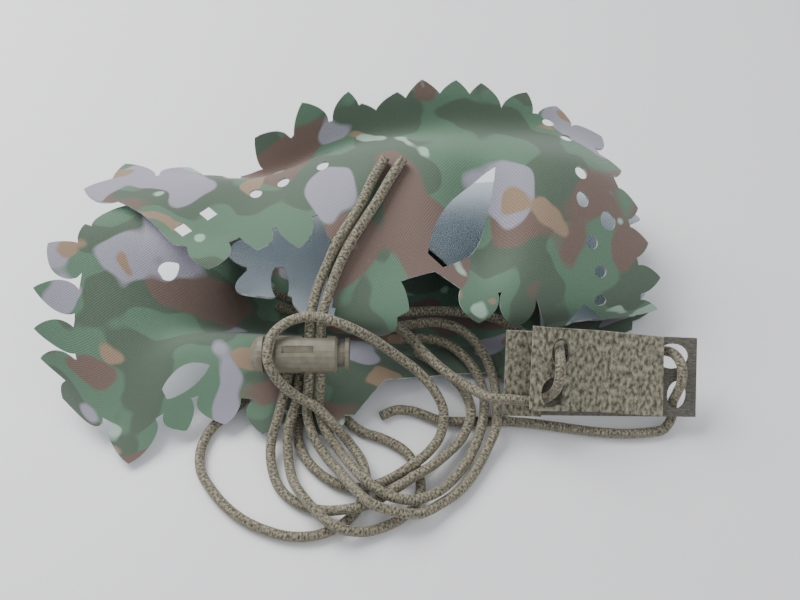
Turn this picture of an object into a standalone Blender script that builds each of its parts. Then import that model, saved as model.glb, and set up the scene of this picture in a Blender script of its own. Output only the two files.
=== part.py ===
"""Helmet scrim: one laser-cut camouflage sheet folded back and forth, with its
elastic cords, its sprung cord lock and its hook-and-loop tab.

Tables and sizes are in millimetres and become metres as the meshes are built.
+X runs along the folds, +Y goes to the back and +Z is up.
"""

import math
from collections import namedtuple

import bmesh
import bpy
import numpy as np
from mathutils import Matrix, Vector
from mathutils.geometry import delaunay_2d_cdt

MM = 0.001
BASE_CENTRE = (-1.05, 6.35)        # middle of the folded cloth on the surface: the origin

# ---------------------------------------------------------------- the sheet

SHEET_THICKNESS = 1.0
SHEET_STEP = 7.8         # spacing of the inner points of the flat cut
SHEET_MARGIN = 3.4       # inner points keep this far from a cut edge
LONGEST_EDGE = 7.0       # longest stretch of cut edge without a point
SHORTEST_EDGE = 1.6      # cut edges shorter than this are merged
SMALLEST_LOOP = 6.0      # area below which an outline is only a sliver
LEAF_STEPS = 6           # points along each side of a leaf
RIPPLE = 0.6             # height of the sheet's small waves
VALLEY = 12.0            # depth of the dip beside the long opening in the top layer
VALLEY_PLACE = (40, 222)
VALLEY_SIZE = (11, 15)

# Places along the folds at which every fold line is given.
STATIONS = (-98, -75, -55, -35, -10, 35, 70, 98)

FoldLine = namedtuple("FoldLine", "name along depth height")

# The section of the folded sheet, from the front edge of the bottom layer to
# the back edge of the top one: distance along the flat cut, then the depth (y)
# and the height (z) of the line at each station.  A height below zero is
# pressed flat on the surface.
FOLD_LINES = (
    FoldLine("front edge", 0,
             (-30, -46, -38, -38, -40, -30, -14, 2), (8, 5, 5, 5, 5, 2, 1, 2)),
    FoldLine("front wall of the hollow", 28,
             (-20, -26, -17, -15, -14, -12, -2, 10), (24, 16, 19, 17, 10, 2, 0, 3)),
    FoldLine("hollow", 52,
             (-4, -4, -4, 0, 2, 2, 10, 18), (36, 28, 14, 3, -1, -1, -1, -1)),
    FoldLine("end wall and floor", 74,
             (14, 14, 12, 18, 20, 20, 24, 28), (42, 38, 32, 3, -1, -1, -1, -1)),
    FoldLine("back of the floor", 100,
             (36, 36, 34, 42, 45, 46, 46, 44), (40, 38, 30, 2, -1, -1, -1, -1)),
    FoldLine("back fold", 117,
             (50, 50, 50, 54, 60, 63, 62, 54), (40, 38, 30, 9, 9, 9, 9, 8)),
    FoldLine("back of the middle layer", 134,
             (44, 44, 44, 42, 46, 48, 46, 42), (44, 42, 30, 19, 19, 19, 18, 15)),
    FoldLine("middle layer", 158,
             (20, 20, 20, 20, 22, 22, 22, 22), (30, 28, 26, 25, 24, 22, 17, 12)),
    FoldLine("front of the middle layer", 182,
             (-2, -2, -2, -2, -9, -12, -4, 4), (26, 26, 25, 24, 17, 17, 12, 8)),
    FoldLine("front fold", 191,
             (-2, -2, -2, -3, -13, -14, -6, 3), (34, 34, 34, 32, 25, 25, 18, 12)),
    FoldLine("front of the top layer", 212,
             (10, 14, 12, 10, 4, 3, 8, 14), (38, 41, 40, 40, 38, 40, 33, 22)),
    FoldLine("crown", 238,
             (28, 30, 31, 32, 36, 34, 36, 36), (42, 44, 44, 43, 49, 54, 47, 30)),
    FoldLine("dip behind the crown", 256,
             (42, 43, 43, 42, 50, 53, 54, 50), (41, 42, 39, 37, 43, 48, 43, 30)),
    FoldLine("back edge", 272,
             (52, 52, 52, 52, 57, 60, 63, 60), (40, 40, 44, 54, 56, 58, 46, 32)),
)

# Corners of the flat cut without its leaves: place along the fold, distance
# along the cut.
BODY_CORNERS = (
    # front edge of the bottom layer
    (-88, 8), (-66, 6), (-44, 9), (-20, 4), (-2, 4), (8, 17), (30, 20), (60, 14), (93, 6),
    # right side of all three layers
    (95, 40), (92, 80), (94, 117), (91, 150), (93, 186), (94, 205), (90, 225), (84, 245),
    # back edge of the top layer
    (78, 262), (60, 266), (30, 264), (0, 266), (-30, 264), (-34, 250),
    (-46, 242), (-64, 245), (-78, 240), (-81, 229), (-74, 221),
    # front of the strip, then the front edge of the dome
    (-61, 206), (-47, 206), (-33, 216), (-14, 222), (-7, 212), (-9, 198),
    (8, 198), (10, 206), (24, 208), (33, 203), (46, 203), (57, 201), (60, 190),
    # front and left end of the middle layer
    (60, 168), (30, 164), (10, 152), (-6, 148), (-11, 156), (-12, 174), (-38, 174),
    (-41, 150), (-36, 125),
    # left end of the bottom layer, which stands up round the hollow
    (-42, 100), (-49, 84), (-56, 73), (-74, 75), (-89, 62), (-92, 34),
)

Leaf = namedtuple("Leaf", "x along heading length width")

# Leaf points round the sheet: root, heading of the tip in degrees, length, width.
END_WALL_LEAVES = (
    Leaf(-76, 69, 97, 17, 19), Leaf(-89, 57, 145, 14, 12), Leaf(-58, 65, 45, 14, 14),
    Leaf(-85, 64, 115, 12, 8), Leaf(-66, 71, 75, 9, 8), Leaf(-90, 46, 175, 14, 10),
    Leaf(-90, 33, 190, 14, 10), Leaf(-88, 20, 195, 15, 12), Leaf(-85, 10, 220, 15, 12),
)
BOTTOM_LEAVES = (
    Leaf(-72, 9, 265, 17, 13), Leaf(-60, 9, 288, 13, 8), Leaf(-47, 11, 285, 13, 12),
    Leaf(-30, 7, 262, 11, 11), Leaf(-12, 6, 278, 10, 11), Leaf(50, 18, 268, 9, 11),
    Leaf(74, 12, 275, 9, 11),
)
RIGHT_LEAVES = (
    Leaf(92, 22, 355, 10, 10), Leaf(91, 52, 8, 9, 10), Leaf(90, 96, 0, 9, 10),
    Leaf(90, 134, 10, 9, 10), Leaf(90, 168, 350, 9, 10), Leaf(89, 193, 345, 12, 9),
    Leaf(90, 205, 5, 11, 9), Leaf(87, 218, 10, 10, 9), Leaf(85, 231, 8, 9, 9),
    Leaf(80, 245, 20, 10, 9), Leaf(75, 258, 45, 12, 11),
)
BACK_LEAVES = (
    Leaf(66, 260, 85, 14, 10), Leaf(51, 260, 72, 17, 9), Leaf(42, 260, 96, 17, 10),
    Leaf(31, 259, 88, 18, 11), Leaf(21, 259, 93, 18, 12), Leaf(10, 260, 82, 13, 11),
    Leaf(1, 260, 98, 10, 9), Leaf(-6, 261, 85, 14, 8), Leaf(-16, 260, 108, 14, 10),
    Leaf(-26, 258, 140, 14, 10), Leaf(-28, 252, 178, 14, 9),
)
STRIP_LEAVES = (
    Leaf(-43, 238, 85, 10, 8), Leaf(-51, 238, 75, 12, 9), Leaf(-62, 239, 80, 16, 12),
    Leaf(-74, 237, 112, 17, 12), Leaf(-76, 234, 165, 17, 13), Leaf(-49, 211, 270, 15, 12),
    Leaf(-35, 219, 278, 12, 10), Leaf(-22, 223, 280, 11, 10),
)
FRONT_LEAVES = (
    Leaf(2, 203, 268, 22, 17), Leaf(5, 204, 332, 12, 10), Leaf(38, 206, 270, 14, 11),
    Leaf(51, 206, 268, 17, 10), Leaf(-34, 178, 264, 13, 13), Leaf(-17, 180, 285, 13, 13),
    Leaf(-36, 160, 165, 10, 9),
)
LEAVES = (END_WALL_LEAVES + BOTTOM_LEAVES + RIGHT_LEAVES + BACK_LEAVES
          + STRIP_LEAVES + FRONT_LEAVES)

Hole = namedtuple("Hole", "x along diameter sides")

# Lacing holes are round; the strip also has two square ones.
HOLES = (
    Hole(64, 262, 4.2, 8), Hole(70, 254, 4.2, 8), Hole(73, 236, 4.2, 8),
    Hole(73, 228, 4.2, 8), Hole(82, 224, 5.4, 8), Hole(76, 217, 4.2, 8),
    Hole(79, 208, 4.2, 8), Hole(79, 198, 4.2, 8), Hole(-35, 231, 4.2, 8),
    Hole(-26, 234, 4.2, 8), Hole(-13, 237, 4.2, 8),
    Hole(-50, 221, 6.2, 4), Hole(-58, 213, 6.2, 4),
)

# Leaf-shaped openings inside the sheet.
OPENINGS = (
    Leaf(24, 211, 52, 33, 10),     # long opening in the top layer
    Leaf(74, 180, 92, 17, 10),     # front fold
    Leaf(-28, 166, 85, 13, 5),     # notch in the pale leaf of the middle layer
    Leaf(-63, 13, 18, 15, 8),      # front wall of the hollow
    Leaf(-66, 62, 40, 8, 4),       # slot in the end wall
)

# ---------------------------------------------------------------- the cords

CORD_DIAMETER = 3.2
CORD_STEP = 8.0          # spacing of a cord tube's points
TAB_CORD_STEP = 5.2      # closer where the cord weaves through the tab

# Routes of the cords, each from the end inside the folded cloth or under the
# lock, or from its first cut end.
CORD_ROUTES = {
    "draw_cord_left": (
        (10, -2.2, 7.5), (18.4, -2.8, 10.5), (28.6, -3.2, 11), (36.5, -7.2, 9),
        (41.8, -14.9, 6), (44, -24.5, 5), (44.2, -31, 5.4), (43.4, -40.8, 5.6),
        (39, -50, 3), (32.4, -60.5, 2.6), (25, -66.7, 3.2), (18.6, -70.8, 5),
        (11.8, -71.3, 7.2), (5.1, -70.1, 8.8), (-1.5, -64.1, 8.8), (-5.8, -57.6, 6.6),
        (-10.5, -50.8, 4.4), (-13.5, -46.5, 5.8), (-16.4, -41, 8), (-17.2, -35.5, 9.7),
        (-16.7, -32.6, 13.8), (-16.1, -29.2, 17.9), (-16.1, -24, 22.6),
        (-16.1, -18.8, 27.3), (-15.6, -14, 30), (-14.2, -7.5, 33), (-10.7, 0, 38),
        (-7, 6.4, 43.4), (-3.6, 11.4, 45.6), (0, 16.9, 48.5), (4.1, 25, 52.4),
        (7.9, 31.2, 55.1),
    ),
    "draw_cord_right": (
        (13, -7, 7.4), (19, -6.6, 7.6), (28.6, -8.7, 7), (36.3, -15.9, 5.4),
        (39.5, -22.8, 4.5), (40.2, -29.9, 5), (39.2, -38.7, 5.6), (36.4, -46.7, 3),
        (30.9, -56, 3.2), (23.8, -63.7, 5), (15.8, -67, 6.6), (8.4, -66, 8.2),
        (1, -60.9, 10), (-2.6, -55.5, 8), (-6.2, -49, 4.9), (-10, -44.5, 7.2),
        (-12.3, -39.4, 8.4), (-13.5, -35.2, 9.7), (-13, -32.6, 13.8), (-12.5, -29.2, 17.9),
        (-12.5, -24, 22.6), (-12.5, -18.8, 27.3), (-12, -14.6, 30.2), (-10.6, -10.1, 33),
        (-8.3, -4.7, 37), (-5.3, 1.8, 40.8), (-1.8, 7.4, 44), (2, 12.8, 46.9),
        (6.2, 18.7, 50.2), (10.7, 25.8, 53.9), (13.7, 30.2, 55.7),
    ),
    "loop_cord": (
        (-38, -27, 1.8), (-43.5, -33, 1.8), (-48, -38, 1.8), (-50.6, -44.3, 1.8),
        (-51.2, -51.1, 1.8), (-48.2, -57.8, 1.8), (-42, -65.9, 1.8), (-34.7, -71.7, 1.8),
        (-26.5, -75.4, 1.8), (-17.3, -77, 1.8), (-8.6, -75, 1.8), (-3.4, -71.4, 1.8),
        (0, -66.8, 1.8), (1.8, -62.9, 4.6), (2.1, -58.9, 6), (0.4, -51.9, 4.9),
        (-3, -46.4, 4.6), (-6.4, -43.5, 8.4), (-10.6, -41, 12.1), (-13, -38.6, 13.3),
        (-16, -37.3, 14.5), (-18.5, -36.5, 15.9), (-23.5, -34.6, 20.4), (-27.4, -32.6, 25.4),
        (-28.6, -27.8, 29.7), (-27.2, -22.4, 31), (-22.5, -17.6, 31.4), (-15.2, -16.9, 33.2),
        (-6.7, -18.8, 32.5), (1.6, -20.2, 28), (7.9, -21, 22.4), (13, -22.5, 18),
        (19.2, -25.6, 14), (23.4, -29.4, 11), (26.3, -32.9, 8), (26.6, -37.8, 5.8),
        (25.6, -42.5, 3.6), (22.3, -47.9, 3.8), (17.1, -54, 6), (12.7, -56.5, 4),
        (8.9, -57.8, 2.4), (4.3, -59.6, 1.8), (-1.4, -60.2, 1.8), (-6.5, -59.2, 1.8),
        (-12.8, -55, 1.8), (-17.8, -49, 1.8), (-20.4, -40.5, 1.8), (-19.5, -33, 1.8),
        (-18, -27, 1.8),
    ),
    "left_run": (
        (-23.2, -25.2, 14.7), (-24.8, -33, 11.2), (-26.6, -39.9, 8),
        (-28.6, -48, 3.4), (-26.6, -56.7, 1.8), (-22.3, -63.7, 1.8), (-16.3, -66.9, 1.8),
        (-11.3, -68.4, 2.5), (-5.8, -69.6, 5.4), (-2.2, -69.8, 5.9), (1.3, -68.6, 5.6),
        (5.4, -66.5, 5), (9, -63.6, 4.2), (13.3, -60.1, 4.6), (17.7, -58.4, 6.0),
        (25.3, -51.5, 4.2), (32.7, -42.9, 3.2), (35.7, -35.2, 6.0), (33.8, -26.7, 5.2),
        (29.3, -20.3, 5.4), (23.3, -16, 7.4), (17.7, -12.6, 8.2),
    ),
    "inner_run": (
        (-18.8, -19, 15.1), (-19.6, -26, 13.2), (-21, -35.3, 9.8), (-23.2, -43.3, 6),
        (-23, -48, 3.6), (-22.2, -53, 1.8), (-20.6, -59, 3.4), (-17.9, -64.2, 5.8),
        (-12.2, -71, 5.7), (-6.5, -75.6, 5.6), (0.6, -75.9, 3), (7.2, -73.9, 1.8),
        (13.6, -70.3, 1.8), (18.2, -64.8, 1.8), (19.2, -58.5, 1.8), (18, -53.6, 1.8),
        (16.2, -49.7, 1.8), (11.7, -44.8, 1.8), (4.6, -41.5, 1.8), (-2, -38.5, 1.8),
        (-6, -34, 1.8),
    ),
    "back_run": (
        (62, -13, 11), (54, -9, 13), (46.9, -3.6, 13.6), (36.4, -0.1, 12.8),
        (26.6, 1.6, 12), (18, 1.8, 11.2), (9.3, 2.2, 10), (-5, 4.6, 8.4),
        (-18.5, 8, 6.8), (-26, 11.5, 5.8), (-32.5, 14.7, 5.7),
    ),
}

# The tab cord in three stretches: from its first cut end to the tab, through
# the tab (in the tab's own places), and on to its other cut end.
TAB_CORD_IN = (
    (-30.1, 8.1, 5.7), (-21.8, 4.9, 6.2), (-11.2, 0.7, 7.6), (-1.8, -2.6, 10.5),
    (7.3, -4.3, 13.8), (13, -9, 15.6), (19.6, -17.4, 16), (24.5, -22.5, 15),
    (29.2, -26.4, 14), (35, -30.2, 13.2),
)
TAB_CORD_THROUGH = (
    (-4, 6, 5.6), (1, 6, 5.4), (6, 5.6, 5.3), (10.5, 5.8, 5.1), (13.8, 7.2, 5.6),
    (15.3, 9.6, 8), (16, 12.5, 10.7), (16.3, 16, 11.5), (16.3, 19.2, 10.7), (16.4, 21.8, 7.2),
    (16.8, 22.9, 3.4), (17.8, 23.2, 0.4), (20.5, 23.4, -2.2), (29, 23.3, -2.7),
    (38, 22.8, -2.7), (47, 22.4, -2.5), (52, 22.2, -1.4), (54.6, 21.2, 1.4),
    (55.8, 18.6, 3.6), (56.2, 15.2, 4.2), (56, 12, 3.4), (55.6, 9, 0.9),
    (55.2, 6, -1.9), (54.8, 2, -2.6), (54.6, -2.5, -1),
)
TAB_CORD_OUT = (
    (97.4, -39.2, 1.9), (92, -40.3, 1.8), (84.2, -40.6, 1.8), (74.2, -39.7, 1.8),
    (65.9, -38.4, 1.8), (56.6, -36.9, 1.8), (46.9, -36, 1.8), (35.5, -36, 1.8),
    (25.4, -35.6, 1.8), (18.9, -32.8, 1.8), (12.5, -31.4, 1.8), (6.5, -34, 1.8),
)

# ---------------------------------------------------------------- the tab

TAB_PLACE = (45.8, -36, 6.2)     # lower left corner of the back of the tab
TAB_SLOPE = 43.4                 # degrees from flat
TAB_LEAN = -2.0                  # degrees in its own plane, right end down
BASE_THICKNESS = 1.2
PILE_THICKNESS = 1.6
LAYER_GAP = 0.3
BASE_CORNERS = ((0, 0), (62, 1.5), (61, 27), (0, 27.5))
REAR_CORNERS = ((0, 0.2), (12, 0.2), (12, 27.5), (0, 27.5))
FRONT_CORNERS = ((7.5, 3.5), (51, 1.5), (50, 27.2), (7.5, 30))
TAB_STEP = 6.0
TAB_MARGIN = 2.2
FRONT_LIFT = 6.4                 # rise of the front pile where the cord runs under it
FRONT_LIFT_FROM = 8.0
FRONT_LIFT_TO = 34.0
Slot = namedtuple("Slot", "x up width height")
FRONT_SLOTS = (Slot(14.6, 9.0, 7.6, 9.8), Slot(16.6, 21.9, 6.0, 8.8))
BASE_SLOTS = (Slot(18, 23.0, 7.6, 6.4), Slot(53.4, 20.9, 10.4, 8.2), Slot(55.5, 8.4, 6.2, 9.2))
SLOT_SIDES = 10

# ---------------------------------------------------------------- the lock

LOCK_PLACE = (-17, -24, 22.6)
LOCK_SLOPE = 42.0                # degrees: the cord hole runs up this slope
CORD_PLACE = 2.7                 # middle of the cord pair along the barrel
BARREL_PROFILE = (               # (x, radius) round the wall's section
    (-10, 4.1), (-10, 5.2), (-9.2, 6.0), (9.2, 6.0), (10, 5.2), (10, 4.1),
)
BUTTON_PROFILE = (               # (x, radius) from the dome to the end disc
    (-18, 0), (-17.7, 2.6), (-16.7, 4.6), (-15.2, 5.8), (-13.6, 5.9), (-13.6, 3.7),
    (12.4, 3.7), (12.4, 5.3), (13.6, 5.3), (13.6, 0),
)
TURN_SEGMENTS = 20
BARREL_HOLE = (CORD_PLACE, 7.8, 4.3)        # middle, length along the barrel, width
BUTTON_HOLE = (CORD_PLACE - 1.5, 10.9, 4.1)
WINDOW_PLACE = (-2.4, 2.2, 6.0)
WINDOW_SIZE = (10.0, 2.2, 2.4)

# ---------------------------------------------------------------- finishes

Finish = namedtuple("Finish", "colour roughness metallic")
FINISHES = {
    "camouflage_cloth": Finish((0.10, 0.14, 0.09), 0.75, 0.0),
    "elastic_cord": Finish((0.16, 0.14, 0.09), 0.70, 0.0),
    "lock_plastic": Finish((0.12, 0.11, 0.08), 0.45, 0.0),
    "tab_backing": Finish((0.09, 0.08, 0.06), 0.65, 0.0),
    "loop_pile": Finish((0.16, 0.155, 0.11), 0.95, 0.0),
}


# ---------------------------------------------------------------- curves

def hermite_weights(places, at):
    """Weights that read, at the places in at, a smooth curve through values given at places."""
    places = np.asarray(places, float)
    at = np.asarray(at, float)
    values = np.eye(len(places))
    slopes = np.gradient(values, places, axis=0)
    inner = np.clip(at, places[0], places[-1])
    cell = np.clip(np.searchsorted(places, inner, side="right") - 1, 0, len(places) - 2)
    width = (places[cell + 1] - places[cell])[:, None]
    t = (inner - places[cell])[:, None] / width
    weights = (1 + 2 * t) * (1 - t) ** 2 * values[cell]
    weights += t * (1 - t) ** 2 * width * slopes[cell]
    weights += t ** 2 * (3 - 2 * t) * values[cell + 1]
    weights += t ** 2 * (t - 1) * width * slopes[cell + 1]
    nearer_end = np.where(at < inner, 0, len(places) - 1)
    return weights + (at - inner)[:, None] * slopes[nearer_end]


def run_length(points):
    """Distance along a line of points, from its first one."""
    return np.r_[0, np.cumsum(np.linalg.norm(np.diff(points, axis=0), axis=1))]


def smooth_route(route, spacing):
    """Evenly spaced points on a smooth curve through a route's own points."""
    route = np.array(route, float)
    chord = run_length(route)
    steps = 20 * len(route)
    fine = hermite_weights(chord, np.linspace(0, chord[-1], steps)) @ route
    run = run_length(fine)
    even = np.linspace(0, run[-1], round(run[-1] / spacing) + 1)
    return np.column_stack([np.interp(even, run, fine[:, axis]) for axis in range(3)])


# ---------------------------------------------------------------- flat cuts

def leaf_outline(leaf):
    """Outline of a leaf: narrow at its root, widest past its middle, pointed at its tip."""
    part = np.linspace(0, 1, LEAF_STEPS + 1)
    half = leaf.width * (0.3 * (1 - part) + 0.42 * np.sin(np.pi * part ** 0.9) ** 0.8)
    turn = math.radians(leaf.heading)
    heading = np.array([math.cos(turn), math.sin(turn)])
    side = np.array([-heading[1], heading[0]])
    spine = np.array([leaf.x, leaf.along]) + np.outer(part * leaf.length, heading)
    right = spine - np.outer(half, side)
    left = spine + np.outer(half, side)
    return np.vstack([right, left[-2::-1]])


def oval_outline(x, up, width, height, sides):
    """Outline of an oval, or of a square on its corner when it has four sides."""
    turn = 2 * np.pi * np.arange(sides) / sides
    return np.column_stack([x + width / 2 * np.cos(turn), up + height / 2 * np.sin(turn)])


def divided(outline, longest):
    """A closed outline with points added so that no stretch is longer than longest."""
    outline = np.asarray(outline, float)
    pieces = []
    for start, end in zip(outline, np.roll(outline, -1, axis=0)):
        count = math.ceil(np.linalg.norm(end - start) / longest)
        pieces.append(start + np.outer(np.arange(count) / count, end - start))
    return np.vstack(pieces)


def thinned(outline, shortest):
    """A closed outline without the points that crowd the one before them."""
    kept = [outline[0]]
    for point in outline[1:]:
        if np.linalg.norm(point - kept[-1]) > shortest:
            kept.append(point)
    if np.linalg.norm(kept[-1] - kept[0]) < shortest:
        kept.pop()
    return np.array(kept)


def enclosed_area(outline):
    """Area inside a closed outline."""
    x, y = outline.T
    return abs(x @ np.roll(y, -1) - y @ np.roll(x, -1)) / 2


def inside(points, outline):
    """Which points lie inside a closed outline."""
    x = points[:, :1]
    y = points[:, 1:]
    end = np.roll(outline, -1, axis=0)
    rise = end[:, 1] - outline[:, 1]
    crosses = (outline[:, 1] > y) != (end[:, 1] > y)
    rise = np.where(rise == 0, 1, rise)
    reach = outline[:, 0] + (y - outline[:, 1]) * (end[:, 0] - outline[:, 0]) / rise
    return (crosses & (x < reach)).sum(axis=1) % 2 == 1


def in_cut(points, outlines):
    """Which points lie on the material between the outlines of a flat cut."""
    return np.sum([inside(points, outline) for outline in outlines], axis=0) % 2 == 1


def edge_distance(points, outlines):
    """Distance of each point from the nearest cut edge."""
    nearest = np.full(len(points), np.inf)
    for outline in outlines:
        for start, end in zip(outline, np.roll(outline, -1, axis=0)):
            edge = end - start
            part = np.clip((points - start) @ edge / (edge @ edge), 0, 1)
            gap = np.linalg.norm(points - start - part[:, None] * edge, axis=1)
            nearest = np.minimum(nearest, gap)
    return nearest


def triangulate(points, outlines):
    """Triangles between points and along closed outlines: their corners and their faces."""
    corners = [Vector(point) for point in points]
    edges = []
    for outline in outlines:
        first = len(corners)
        count = len(outline)
        corners.extend(Vector(point) for point in outline)
        edges.extend((first + i, first + (i + 1) % count) for i in range(count))
    found = delaunay_2d_cdt(corners, edges, [], 0, 1e-4)
    return np.array([corner[:] for corner in found[0]]), np.array([tuple(f) for f in found[2]])


def border_edges(faces):
    """Edges that only one face has, each in that face's direction."""
    edges = [(int(face[i]), int(face[(i + 1) % 3])) for face in faces for i in range(3)]
    known = set(edges)
    return [edge for edge in edges if (edge[1], edge[0]) not in known]


def joined_outlines(solid, empty):
    """Outlines of the solid shapes joined together, less the empty ones."""
    corners, faces = triangulate([], solid + empty)
    middle = corners[faces].mean(axis=1)
    kept = np.any([inside(middle, shape) for shape in solid], axis=0)
    kept &= ~np.any([inside(middle, shape) for shape in empty], axis=0)
    following = dict(border_edges(faces[kept]))
    outlines = []
    while following:
        start, here = following.popitem()
        loop = [start]
        while here != start:
            loop.append(here)
            here = following.pop(here)
        outlines.append(corners[loop])
    return [thinned(outline, SHORTEST_EDGE) for outline in outlines
            if enclosed_area(outline) > SMALLEST_LOOP]


def flat_cut(outlines, step, margin):
    """Triangulated flat cut inside the outlines: its points and its faces."""
    everything = np.vstack(outlines)
    low = everything.min(axis=0)
    high = everything.max(axis=0)
    columns, rows = np.meshgrid(np.arange(low[0], high[0], step),
                                np.arange(low[1], high[1], step * math.sqrt(0.75)))
    columns[1::2] += step / 2
    grid = np.column_stack([columns.ravel(), rows.ravel()])
    grid = grid[in_cut(grid, outlines)]
    grid = grid[edge_distance(grid, outlines) > margin]
    points, faces = triangulate(grid, outlines)
    return points, faces[in_cut(points[faces].mean(axis=1), outlines)]


# ---------------------------------------------------------------- folding

def folded_cloth(flat):
    """Middle of the folded sheet at points (place along the fold, distance along the cut)."""
    across = hermite_weights(STATIONS, flat[:, 0])
    along = hermite_weights([line.along for line in FOLD_LINES], flat[:, 1])
    depth = np.array([line.depth for line in FOLD_LINES], float)
    height = np.array([line.height for line in FOLD_LINES], float)
    off_valley = (flat - VALLEY_PLACE) / VALLEY_SIZE
    wave = np.sin(flat[:, 0] / 7) * np.sin(flat[:, 1] / 9 + flat[:, 0] / 31)
    folded = np.empty((len(flat), 3))
    folded[:, 0] = flat[:, 0]
    folded[:, 1] = np.einsum("ni,ij,nj->n", along, depth, across)
    folded[:, 2] = np.einsum("ni,ij,nj->n", along, height, across) + RIPPLE * wave
    folded[:, 2] -= VALLEY * np.exp(-(off_valley ** 2).sum(axis=1))
    folded[:, 2] = np.maximum(folded[:, 2], SHEET_THICKNESS / 2)
    return folded


def tab_axes():
    """The tab's directions: along it, up it, and out of its face."""
    slope = math.radians(TAB_SLOPE)
    lean = math.radians(TAB_LEAN)
    upward = np.array([0, math.cos(slope), math.sin(slope)])
    sideways = np.array([1.0, 0, 0])
    along = math.cos(lean) * sideways + math.sin(lean) * upward
    up = math.cos(lean) * upward - math.sin(lean) * sideways
    return np.array([along, up, np.cross(along, up)])


def tab_points(places):
    """Places in the tab (along, up, out) as points of the object."""
    return np.array(TAB_PLACE) + np.asarray(places, float) @ tab_axes()


def tab_layer(out):
    """Fold function of a flat layer of the tab whose middle lies at out."""
    def laid(flat):
        return tab_points(np.column_stack([flat, np.full(len(flat), out)]))
    return laid


def front_pile_laid(flat):
    """Middle of the front pile: flat at the right, lifted by the cord at the left."""
    part = (FRONT_LIFT_TO - flat[:, 0]) / (FRONT_LIFT_TO - FRONT_LIFT_FROM)
    part = np.clip(part, 0, 1)
    rest = BASE_THICKNESS + LAYER_GAP + PILE_THICKNESS / 2
    out = rest + FRONT_LIFT * part ** 2 * (3 - 2 * part)
    return tab_points(np.column_stack([flat, out]))


def fold_normals(fold, flat):
    """Outward directions of a folded sheet's upper side."""
    reach = 0.4
    across = fold(flat + [reach, 0]) - fold(flat - [reach, 0])
    along = fold(flat + [0, reach]) - fold(flat - [0, reach])
    normal = np.cross(across, along)
    return normal / np.linalg.norm(normal, axis=1, keepdims=True)


# ---------------------------------------------------------------- objects

def finish_material(name):
    """Principled material of one finish."""
    finish = FINISHES[name]
    material = bpy.data.materials.get(name) or bpy.data.materials.new(name)
    material.use_nodes = True
    shader = material.node_tree.nodes["Principled BSDF"]
    shader.inputs["Base Color"].default_value = (*finish.colour, 1)
    shader.inputs["Roughness"].default_value = finish.roughness
    shader.inputs["Metallic"].default_value = finish.metallic
    return material


def place_object(name, data):
    """New object under the empty that carries the whole scrim."""
    thing = bpy.data.objects.new(name, data)
    thing.parent = bpy.data.objects["scrim"]
    bpy.context.scene.collection.objects.link(thing)
    return thing


def add_object(name, data, finish):
    """New piece of the object with its finish."""
    data.materials.append(finish_material(finish))
    return place_object(name, data)


def sheet_object(name, outlines, fold, thickness, grid, finish):
    """Closed sheet: a flat cut laid along fold, thickened to both sides, with a rim."""
    flat, faces = flat_cut(outlines, *grid)
    middle = fold(flat)
    half = fold_normals(fold, flat) * thickness / 2
    vertices = np.vstack([middle + half, middle - half])
    vertices[:, 2] = np.maximum(vertices[:, 2], 0)
    count = len(flat)
    sides = [tuple(face) for face in faces.tolist()]
    sides += [tuple(corner + count for corner in reversed(face)) for face in faces.tolist()]
    for start, end in border_edges(faces):
        sides.append((end, start, start + count))
        sides.append((end, start + count, end + count))
    mesh = bpy.data.meshes.new(name)
    mesh.from_pydata((vertices * MM).tolist(), [], sides)
    return add_object(name, mesh, finish)


def cord_object(name, points):
    """Plain tube along a cord's points, from a curve with filled ends."""
    curve = bpy.data.curves.new(name, "CURVE")
    curve.dimensions = "3D"
    curve.bevel_depth = CORD_DIAMETER / 2 * MM
    curve.bevel_resolution = 2
    curve.use_fill_caps = True
    spline = curve.splines.new("POLY")
    spline.points.add(len(points) - 1)
    for corner, place in zip(spline.points, points - points[0]):
        corner.co = (*(place * MM), 1)
    cord = add_object(name, curve, "elastic_cord")
    cord.location = Vector(points[0] * MM)
    return cord


def turned_mesh(name, profile):
    """Solid turned about X from corners (x, radius), closed along the axis or as a ring."""
    work = bmesh.new()
    corners = [work.verts.new((x * MM, radius * MM, 0)) for x, radius in profile]
    for start, end in zip(corners, corners[1:]):
        work.edges.new((start, end))
    if profile[0][1] > 0:
        work.edges.new((corners[-1], corners[0]))
    bmesh.ops.spin(work, geom=work.verts[:] + work.edges[:], axis=(1, 0, 0), cent=(0, 0, 0),
                   angle=2 * math.pi, steps=TURN_SEGMENTS, use_duplicate=False)
    bmesh.ops.remove_doubles(work, verts=work.verts[:], dist=0.01 * MM)
    bmesh.ops.recalc_face_normals(work, faces=work.faces[:])
    mesh = bpy.data.meshes.new(name)
    work.to_mesh(mesh)
    work.free()
    mesh.shade_smooth()
    mesh.set_sharp_from_angle(angle=math.radians(35))
    return mesh


def prism_cutter(name, outline, low, high):
    """Cutter whose section is outline (x, z), running along Y from low to high."""
    work = bmesh.new()
    base = work.faces.new([work.verts.new((x * MM, low * MM, z * MM)) for x, z in outline])
    moved = bmesh.ops.extrude_face_region(work, geom=[base])["geom"]
    ends = [item for item in moved if isinstance(item, bmesh.types.BMVert)]
    bmesh.ops.translate(work, verts=ends, vec=(0, (high - low) * MM, 0))
    bmesh.ops.recalc_face_normals(work, faces=work.faces[:])
    mesh = bpy.data.meshes.new(name)
    work.to_mesh(mesh)
    work.free()
    cutter = place_object(name, mesh)
    cutter.hide_render = True
    cutter.display_type = "WIRE"
    return cutter


def cut_with(thing, cutter, frame):
    """Boolean cut of a cutter that is placed with the lock."""
    cutter.matrix_world = frame
    cut = thing.modifiers.new(cutter.name, "BOOLEAN")
    cut.operation = "DIFFERENCE"
    cut.solver = "EXACT"
    cut.object = cutter


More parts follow.
